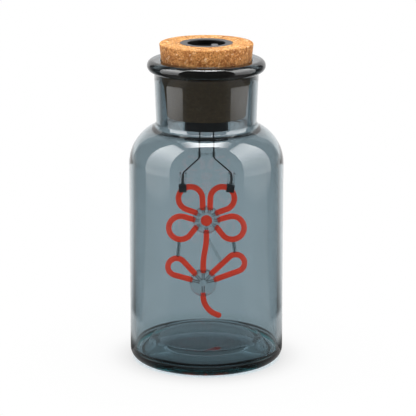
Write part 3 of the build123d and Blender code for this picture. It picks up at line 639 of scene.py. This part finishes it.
MATERIAL_OF_SLOT = {
    "smoke_glass": SMOKE_GLASS,
    "cork": CORK,
    "black_plastic": BLACK_PLASTIC,
    "key_plastic": moulded_material("key_plastic", (0.05, 0.05, 0.053), 0.32),
    "switch_plastic": moulded_material("switch_plastic", (0.03, 0.03, 0.032), 0.45),
    "plated_steel": metal_material("plated_steel", (0.72, 0.71, 0.69), 0.22),
    "board_laminate": moulded_material("board_laminate", (0.02, 0.16, 0.07), 0.3, 700.0),
    "chip_resin": moulded_material("chip_resin", (0.03, 0.03, 0.033), 0.6),
    "cell_wrap": moulded_material("cell_wrap", (0.08, 0.22, 0.45), 0.28),
    "lead_insulation": moulded_material("lead_insulation", (0.012, 0.012, 0.012), 0.42),
    "pad_foam": moulded_material("pad_foam", (0.05, 0.05, 0.05), 0.9, 1200.0, 0.0002, 0.2),
    "grommet_rubber": moulded_material("grommet_rubber", (0.018, 0.018, 0.018), 0.65),
    "clear_plastic": clear_plastic_material(),
    "clip_plastic": moulded_material("clip_plastic", (0.035, 0.034, 0.036), 0.42),
    "crimp_metal": CRIMP_METAL,
    "red_silicone": RED_SILICONE,
}
for subpart in frame["record"]["subparts"]:
    dressed = NODES[subpart["node"]]
    dressed.data.materials.clear()
    dressed.data.materials.append(MATERIAL_OF_SLOT[subpart["material_slot"]])


# Glass bottle
def bottle_profile():
    """Closed (radius, height) outline of the wall, from the punt's crown round to the floor's crown."""
    bead_centre = np.array([BEAD_CENTRE_RADIUS, LIP_HEIGHT - BEAD_SECTION])
    bead_inset = BEAD_CENTRE_RADIUS - COLLAR_RADIUS
    bead_drop = np.sqrt(BEAD_SECTION ** 2 - bead_inset ** 2)
    bore_base_height = SHOULDER_END - SHOULDER_TOP_THICKNESS
    inner_radius = BODY_RADIUS - WALL - BORE_BASE_RADIUS + INNER_SHOULDER_INSET
    inner_angle = np.arccos(INNER_SHOULDER_INSET / inner_radius)
    inner_height = bore_base_height - inner_radius * np.sin(inner_angle)
    inner_centre = (BORE_BASE_RADIUS - INNER_SHOULDER_INSET, inner_height)
    shoulder_centre = (SHOULDER_AXIS, SHOULDER_START)
    shoulder_end = SHOULDER_ANGLE - SHOULDER_TRIM
    punt_bow, punt_span = bow(PUNT_RING_RADIUS, PUNT_RING_HEIGHT, PUNT_CROWN)
    floor_bow, floor_span = bow(FLOOR_PLATEAU_RADIUS, FLOOR_PLATEAU_HEIGHT, FLOOR_CROWN)
    punt = arc((0, PUNT_CROWN - punt_bow), punt_bow, QUARTER, QUARTER - punt_span, CROWN_POINTS)
    foot = round_corners(
        [punt[-2], punt[-1], (FOOT_RING_RADIUS, 0), (BODY_RADIUS, 0), (BODY_RADIUS, SHOULDER_START)],
        [PUNT_FILLET, FOOT_FILLET, HEEL_RADIUS], FOOT_POINTS,
    )
    shoulder = arc(shoulder_centre, SHOULDER_RADIUS, 0, shoulder_end, SHOULDER_POINTS)
    neck = round_corners(
        [shoulder[-2], shoulder[-1] + (shoulder[-1] - shoulder[-2]) * NECK_ROOT_REACH,
         (NECK_BASE_RADIUS + NECK_ROOT_FLARE, SHOULDER_END + NECK_ROOT_RISE), (NECK_TOP_RADIUS, NECK_TOP),
         (COLLAR_RADIUS, NECK_TOP + COLLAR_BEVEL), (COLLAR_RADIUS, bead_centre[1] - bead_drop - COLLAR_STOP)],
        NECK_FILLETS, NECK_POINTS,
    )
    bead_start = -QUARTER - np.arcsin(bead_inset / BEAD_SECTION) + BEAD_TRIM
    bead = arc(bead_centre, BEAD_SECTION, bead_start, QUARTER, BEAD_POINTS)
    lip = round_corners(
        [bead[-1], (BORE_LIP_RADIUS, LIP_HEIGHT), (BORE_BASE_RADIUS, bore_base_height + BORE_FILLET)],
        [LIP_FILLET], LIP_POINTS,
    )
    inner = arc(inner_centre, inner_radius, inner_angle - INNER_TRIM, 0, INNER_POINTS)
    crown = arc((0, FLOOR_CROWN - floor_bow), floor_bow, QUARTER - floor_span, QUARTER, CROWN_POINTS)
    floor = round_corners(
        [inner[-1], (BODY_RADIUS - WALL, FLOOR_EDGE), (FLOOR_RISE_RADIUS, FLOOR_EDGE), crown[0], crown[3]],
        [FLOOR_FILLET, FLOOR_RISE_FILLET, FLOOR_PLATEAU_FILLET], FOOT_POINTS,
    )
    runs = [punt[:-2], foot[1:-1], shoulder, neck[2:], bead, lip[1:], inner, floor[1:], crown[4:]]
    outline = np.concatenate(runs)
    keep = np.linalg.norm(np.diff(outline, axis=0), axis=1) > OUTLINE_LEAST_STEP
    return outline[np.concatenate([[True], keep])]


def make_bottle():
    """The outline turned about the axis; both ends on the axis are single points."""
    profile = bottle_profile()
    runs = subdivide(profile[1:-1], OUTLINE_LONGEST_STEP)
    points = revolve(runs, BOTTLE_SEGMENTS)
    count = len(points)
    poles = np.array([[0, 0, profile[0, 1]], [0, 0, profile[-1, 1]]])
    faces = [list(f) for f in grid_faces(len(runs), BOTTLE_SEGMENTS, close_columns=True)]
    ring = np.arange(BOTTLE_SEGMENTS)
    after = (ring + 1) % BOTTLE_SEGMENTS
    faces += [[count, b, a] for a, b in zip(ring, after)]
    last = (len(runs) - 1) * BOTTLE_SEGMENTS
    faces += [[count + 1, last + a, last + b] for a, b in zip(ring, after)]
    obj = make_piece("bottle_glass", np.vstack([points, poles]), faces, "bottle", SMOKE_GLASS)
    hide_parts("glass_bottle")


# Cork
def make_cork():
    """A closed ring profile turned about the axis and dented by pits at fixed random places.

    Each pit is a tilted bell, depth * exp(-(u / length)^2 - (v / width)^2), cut into the side or the top.
    """
    low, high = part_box("cork_stopper")
    bottom, top = low[2] / MM, high[2] / MM
    top_radius = high[0] / MM
    bottom_radius = top_radius - (top - bottom) * np.tan(np.radians(CORK_TAPER))
    hole, seat = CORK_HOLE_RADIUS, FLANGE_SEAT_RADIUS
    seat_height = top - FLANGE_SEAT_DEPTH
    corners = [(hole, seat_height), (hole, bottom), (bottom_radius, bottom), (top_radius, top), (seat, top),
               (seat, seat_height), (hole, seat_height)]
    rounded = round_corners(corners, [0, CORK_FOOT_FILLET, CORK_EDGE_FILLET, 0, 0], CORK_FILLET_POINTS)
    outline = subdivide(rounded, CORK_STEP)[:-1]
    points = revolve(outline, CORK_SEGMENTS).reshape(len(outline), CORK_SEGMENTS, 3)
    radius = np.linalg.norm(points[:, :, :2], axis=2)
    height = points[:, :, 2]
    angle = np.arctan2(points[:, :, 1], points[:, :, 0])
    on_side = (radius > bottom_radius - CORK_SIDE_SKIN) & (height < top - CORK_SIDE_SKIN)
    on_face = height > top - CORK_TOP_SKIN
    dent = np.zeros_like(radius)
    random = np.random.default_rng(PIT_SEED)
    for _ in range(PIT_COUNT):
        in_top = random.random() < PIT_TOP_SHARE
        pit_angle = random.uniform(-np.pi, np.pi)
        if in_top:
            pit = random.uniform(seat + PIT_SEAT_MARGIN, top_radius - PIT_EDGE_MARGIN)
        else:
            pit = random.uniform(bottom + PIT_SIDE_MARGIN, top - PIT_SIDE_MARGIN)
        long, wide = random.uniform(*PIT_LENGTHS), random.uniform(*PIT_WIDTHS)
        depth = random.uniform(*PIT_DEPTHS)
        tilt = random.uniform(-PIT_TILT, PIT_TILT)
        along = half_turned(angle - pit_angle) * radius
        across = (radius if in_top else height) - pit
        u = along * np.cos(tilt) + across * np.sin(tilt)
        v = across * np.cos(tilt) - along * np.sin(tilt)
        bell = depth * np.exp(-(u / long) ** 2 - (v / wide) ** 2)
        dent = np.maximum(dent, bell * (on_face if in_top else on_side))
    factor = np.where(on_side, 1 - dent / radius, 1.0)
    points[:, :, 0] *= factor
    points[:, :, 1] *= factor
    points[:, :, 2] -= np.where(on_side, 0.0, dent)
    faces = grid_faces(len(outline), CORK_SEGMENTS, close_rows=True, close_columns=True)
    obj = make_piece("cork_body", points.reshape(-1, 3), faces, "stopper", CORK)
    outward(obj)
    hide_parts("cork_stopper")


# Flower of light tube and its bare wires
def teardrop_line(centre, angle, reach, tip_radius):
    """Centre line of a teardrop: straight from one end, round the tip and straight back, as (x, z) points."""
    tip_centre = reach - tip_radius
    distance = np.hypot(tip_centre - TUBE_END, TUBE_END_OFFSET)
    tangent = np.arctan2(TUBE_END_OFFSET, TUBE_END - tip_centre) - np.arccos(tip_radius / distance)
    tip = np.linspace(tangent, -tangent, TIP_POINTS)
    along = np.concatenate([[TUBE_END], tip_centre + tip_radius * np.cos(tip), [TUBE_END]])
    across = np.concatenate([[TUBE_END_OFFSET], tip_radius * np.sin(tip), [-TUBE_END_OFFSET]])
    turn = np.radians(angle)
    x = centre[0] + along * np.cos(turn) - across * np.sin(turn)
    z = centre[1] + along * np.sin(turn) + across * np.cos(turn)
    return np.stack([x, z], axis=1)


def smooth_line(line, step):
    """A polyline with evenly spaced points, no further apart than step."""
    length = np.concatenate([[0], np.cumsum(np.linalg.norm(np.diff(line, axis=0), axis=1))])
    even = np.linspace(0, length[-1], max(2, int(np.ceil(length[-1] / step)) + 1))
    return np.stack([np.interp(even, length, line[:, k]) for k in range(line.shape[1])], axis=1)


def flat_to_space(line):
    """(x, z) points as (x, 0, z)."""
    return np.stack([line[:, 0], np.zeros(len(line)), line[:, 1]], axis=1)


def tube_points(line, radius, sides):
    """Rings of points round an XZ-plane line: centre + radius (cos t across + sin t along Y)."""
    tangent = np.gradient(line, axis=0)
    tangent /= np.linalg.norm(tangent, axis=1)[:, None]
    across = np.stack([-tangent[:, 2], np.zeros(len(line)), tangent[:, 0]], axis=1)
    angle = np.linspace(0, TURN, sides, endpoint=False)[None, :, None]
    out = np.array([0.0, 1.0, 0.0])
    return line[:, None, :] + radius * (across[:, None, :] * np.cos(angle) + out * np.sin(angle))


def make_tube(name, line, radius, sides, material, replaced=None):
    """A closed tube along an XZ-plane line, its ends capped by a centre point."""
    rings = tube_points(line, radius, sides)
    count = rings.shape[0] * sides
    points = np.vstack([rings.reshape(-1, 3), line[:1], line[-1:]])
    ring = np.arange(sides)
    after = (ring + 1) % sides
    last = count - sides
    faces = [list(f) for f in grid_faces(rings.shape[0], sides, close_columns=True)]
    faces += [[count, a, b] for a, b in zip(ring, after)]
    faces += [[count + 1, last + b, last + a] for a, b in zip(ring, after)]
    obj = make_piece(name, points, faces, "stopper", material)
    outward(obj)
    if replaced:
        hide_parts(replaced)


def leaf_place(side):
    """Angle and reach of a leaf whose tip hangs under the side petal's tip."""
    drop = PETAL_TIP + (BRACE_RIGHT if side > 0 else BRACE_LEFT) + LEAF_TIP
    lean = np.radians(BRACE_LEAN)
    turn = np.radians(SIDE_PETAL_ANGLE)
    out = PETAL_REACH - PETAL_TIP
    across = side * out * np.cos(turn) + side * drop * np.sin(lean) - JOINT[0]
    up = BLOOM[1] + out * np.sin(turn) - drop * np.cos(lean) - JOINT[1]
    return np.degrees(np.arctan2(up, across)), np.hypot(across, up) + LEAF_TIP


def make_flower():
    """The flower's four petals and two leaves, each a round tube along a teardrop."""
    lines = {}
    for side, word in ((-1, "left"), (1, "right")):
        for name, angle in (("petal_upper_", UPPER_PETAL_ANGLE), ("petal_side_", SIDE_PETAL_ANGLE)):
            turned = angle if side > 0 else 180.0 - angle
            lines[name + word] = teardrop_line(BLOOM, turned, PETAL_REACH, PETAL_TIP)
        angle, reach = leaf_place(side)
        lines["leaf_" + word] = teardrop_line(JOINT, angle, reach, LEAF_TIP)
    for name, line in lines.items():
        spaced = smooth_line(flat_to_space(line), TUBE_STEP)
        # The strokes' glow is painted, in their red silicone
        make_tube("painted_glow_" + name, spaced, TUBE_RADIUS, TUBE_SIDES, RED_SILICONE, name)


def end_angles(angle):
    """Directions, in degrees from a hub's centre, of a teardrop's two tube ends."""
    half = np.degrees(np.arctan2(TUBE_END_OFFSET, TUBE_END))
    return angle - half, angle + half


def make_links(name, centre, inner, angles):
    """Twin bare wires in a clear hub, straight from each tube end in towards the hub's middle."""
    reach = np.hypot(TUBE_END, TUBE_END_OFFSET) + LINK_LAP
    middle = np.array([centre[0], 0.0, centre[1]])
    run = np.linspace(reach, inner, LINK_POINTS)[:, None]
    for index, angle in enumerate(np.radians(angles)):
        along = np.array([np.cos(angle), 0.0, np.sin(angle)])
        across = np.array([-np.sin(angle), 0.0, np.cos(angle)])
        for side, word in ((-1, "lower"), (1, "upper")):
            line = middle + along * run + across * side * LINK_GAP
            make_tube(f"{name}_{index}_{word}", line, LINK_RADIUS, LINK_SIDES, CRIMP_METAL)


def make_all_links():
    """Wires that run from the strokes' ends into the bloom's hub and the stem's joint."""
    petals = [*end_angles(UPPER_PETAL_ANGLE), *end_angles(SIDE_PETAL_ANGLE)]
    mirrored = [180.0 - angle for angle in petals]
    make_links("bloom_link", BLOOM, LINK_INNER_BLOOM, petals + mirrored + [-90.0])
    leaves = [*end_angles(leaf_place(1)[0])]
    leaves += [180.0 - angle for angle in end_angles(180.0 - leaf_place(-1)[0])]
    make_links("joint_link", JOINT, LINK_INNER_JOINT, leaves + [90.0, -90.0])


make_bottle()
make_cork()
make_flower()
make_all_links()


# Floor, backdrop and lights
def make_sheet(name, corners, material):
    """One flat face from its four corners in metres."""
    mesh = bpy.data.meshes.new(name)
    mesh.from_pydata(corners, [], [(0, 1, 2, 3)])
    mesh.materials.append(material)
    sheet = bpy.data.objects.new(name, mesh)
    bpy.context.scene.collection.objects.link(sheet)
    return sheet


def floor_seen(tree, distance, span):
    """The floor as the camera sees it: matte in a painted shadow faintly glowing under the bottle, paling
    outwards round it.
    """
    # Painted shadow: a darker matte tone under the bottle, lifted by a faint painted glow
    shaded = node(tree, "ShaderNodeBsdfDiffuse", Color=grey_ramp(tree, span, FLOOR_SHADOW_UNDER)).outputs["BSDF"]
    glow = emission(tree, WHITE, map_range(tree, distance, *FLOOR_PAINTED_GLOW_RING, 0.0, FLOOR_PAINTED_GLOW, "SMOOTHSTEP"))
    near = node(tree, "ShaderNodeAddShader", _0=shaded, _1=glow).outputs["Shader"]
    far = map_range(tree, distance, *FLOOR_FOOT_RING, kind="SMOOTHSTEP")
    # Painted soft shadow round the bottle, paling outwards
    return mix_shaders(tree, far, near, emission(tree, grey_ramp(tree, span, FLOOR_PAINTED_SHADOW)))


def floor_mirrored(tree, place, span):
    """The floor as the glass reflects it: painted in sectors, with a lighter ring aside and one ahead."""
    axes = axes_of(tree, place)
    azimuth = maths(tree, "ABSOLUTE", maths(tree, "ARCTAN2", axes["X"], axes["Y"]))
    sector = maths(tree, "DIVIDE", azimuth, float(np.pi))
    painted = grey_ramp(tree, sector, FLOOR_SECTORS)
    rings = ((RING_ASIDE, SECTOR_ASIDE, WHITE), (RING_AHEAD, SECTOR_AHEAD, RING_AHEAD_TONE))
    for by_distance, by_sector, tone in rings:
        near, turned = grey_ramp(tree, span, by_distance), grey_ramp(tree, sector, by_sector)
        painted = blend(tree, maths(tree, "MULTIPLY", near, turned), painted, tone, "LIGHTEN")
    return emission(tree, painted)


def make_floor():
    """A wide pale floor, which looks different to the camera, to reflections and to matte surfaces."""
    material, tree = new_glow("pale_floor")
    tone = (FLOOR_TONE, FLOOR_TONE, FLOOR_TONE, 1)
    matte = node(tree, "ShaderNodeBsdfDiffuse", Color=tone).outputs["BSDF"]
    place = object_place(tree)
    distance = length_of(tree, place)
    span = map_range(tree, distance, 0.0, FLOOR_PAINT_REACH)
    seen, mirrored = floor_seen(tree, distance, span), floor_mirrored(tree, place, span)
    shown = mix_shaders(tree, bounced(tree, "Glossy"), seen, mirrored)
    to_output(tree, mix_shaders(tree, unbounced(tree, "Diffuse"), matte, shown))
    half = FLOOR_HALF_WIDTH
    corners = [(-half, -half, 0), (half, -half, 0), (half, half, 0), (-half, half, 0)]
    floor = make_sheet("floor", corners, material)
    floor.location.z = -FLOOR_GAP


def make_backdrop():
    """An upright white sheet far behind the bottle, which its reflections and thick edges look at."""
    material, tree = new_glow("white_backdrop")
    to_output(tree, emission(tree, WHITE))
    half, high, back = BACKDROP_HALF_WIDTH, BACKDROP_HEIGHT, BACKDROP_DISTANCE
    corners = [(-half, back, 0), (half, back, 0), (half, back, high), (-half, back, high)]
    backdrop = make_sheet("backdrop", corners, material)


def make_world():
    """White seen straight or through glass, a dim studio in reflections and a soft fill for the rest."""
    world = bpy.data.worlds.new("studio")
    bpy.context.scene.world = world
    world.use_nodes = True
    tree = world.node_tree
    background = tree.nodes["Background"]
    studio = blend(tree, bounced(tree, "Diffuse"), STUDIO_IN_REFLECTIONS, STUDIO_FILL)
    straight = maths(tree, "MULTIPLY", unbounced(tree, "Glossy"), unbounced(tree, "Diffuse"))
    tree.links.new(blend(tree, straight, studio, WHITE), background.inputs["Color"])
    background.inputs["Strength"].default_value = 1.0


def make_light(name, place, aim, width, height, radiance):
    """A soft box of a width and a height in metres that faces a point, with its radiance."""
    data = bpy.data.lights.new(name, "AREA")
    data.shape = "RECTANGLE"
    data.size, data.size_y = width, height
    data.energy = 4 * width * height * radiance
    light = bpy.data.objects.new(name, data)
    light.location = place
    light.rotation_euler = (Vector(aim) - Vector(place)).to_track_quat("-Z", "Y").to_euler()
    light.visible_camera = False
    light.visible_transmission = False
    bpy.context.scene.collection.objects.link(light)
    return light


def light_tree(light):
    """A light's node tree and the coordinates of the place on it that glows."""
    light.data.use_nodes = True
    tree = light.data.node_tree
    return tree, axes_of(tree, node(tree, "ShaderNodeNewGeometry").outputs["Position"])


def make_side_box(name, start, end, radiance):
    """An upright soft box between two azimuths, hotter further up, with an even box for matte light."""
    middle, half = np.radians((start + end) / 2), np.radians(abs(end - start) / 2)
    x, y = float(BOX_DISTANCE * np.sin(middle)), float(-BOX_DISTANCE * np.cos(middle))
    place, aim = (x, y, BOX_HEIGHT / 2), (0, 0, BOX_HEIGHT / 2)
    width = float(2 * BOX_DISTANCE * np.tan(half))
    light = make_light(name, place, aim, width, BOX_HEIGHT, radiance)
    light.visible_diffuse = False
    tree, axes = light_tree(light)
    heat = grey_ramp(tree, map_range(tree, axes["Z"], 0.0, BOX_HEIGHT), BOX_HEAT)
    tree.links.new(heat, tree.nodes["Emission"].inputs["Color"])
    make_light(name + "_fill", place, aim, width, BOX_HEIGHT, BOX_FILL).visible_glossy = False


def make_overhead():
    """A soft box above the bottle, brightest in its middle and fading to the left and right."""
    half = OVERHEAD_HEAT[-1][0]
    size = (2 * half, OVERHEAD_DEPTH)
    light = make_light("overhead", OVERHEAD_PLACE, OVERHEAD_AIM, *size, OVERHEAD_RADIANCE)
    tree, axes = light_tree(light)
    share = maths(tree, "DIVIDE", maths(tree, "ABSOLUTE", axes["X"]), half)
    heat = grey_ramp(tree, share, [(aside / half, value) for aside, value in OVERHEAD_HEAT])
    tree.links.new(heat, tree.nodes["Emission"].inputs["Color"])


def make_camera():
    """The camera, which looks slightly down at the bottle from the front."""
    data = bpy.data.cameras.new("camera")
    data.lens = CAMERA_LENS
    data.shift_x = CAMERA_SHIFT
    camera = bpy.data.objects.new("camera", data)
    camera.location = CAMERA_PLACE
    camera.rotation_euler = (Vector(CAMERA_AIM) - Vector(CAMERA_PLACE)).to_track_quat("-Z", "Y").to_euler()
    bpy.context.scene.collection.objects.link(camera)
    bpy.context.scene.camera = camera


make_floor()
make_backdrop()
make_world()
make_overhead()
make_side_box("left_box", *LEFT_BOX)
make_side_box("right_box", *RIGHT_BOX)
make_camera()
bpy.context.scene.view_settings.view_transform = "Standard"
